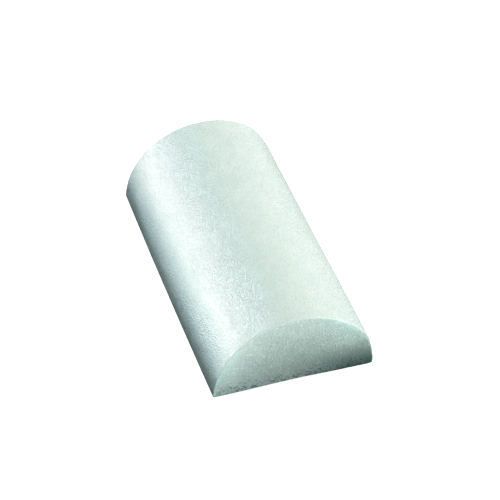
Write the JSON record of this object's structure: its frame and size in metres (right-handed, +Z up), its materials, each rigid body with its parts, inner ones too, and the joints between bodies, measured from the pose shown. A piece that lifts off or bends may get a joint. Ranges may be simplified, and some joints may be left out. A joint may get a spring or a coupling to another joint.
{
  "type": "foam roller",
  "caption": "Half-round foam roller: D-section bar of closed-cell foam with a pebbled skin over its curved face and sawn ends and base.",
  "frame": {"origin": "middle of the flat base, on the surface that the roller lies on", "axes": "+Y along the roller, +Z up from the flat base towards the crown, +X across the roller"},
  "size_m": [0.1522, 0.295, 0.0722],
  "materials": {
    "cut_foam": "matte",
    "foam_skin": "satin"
  },
  "bodies": {
    "root": {"foam_core": "cut_foam", "outer_skin": "foam_skin"}
  },
  "joints": []
}
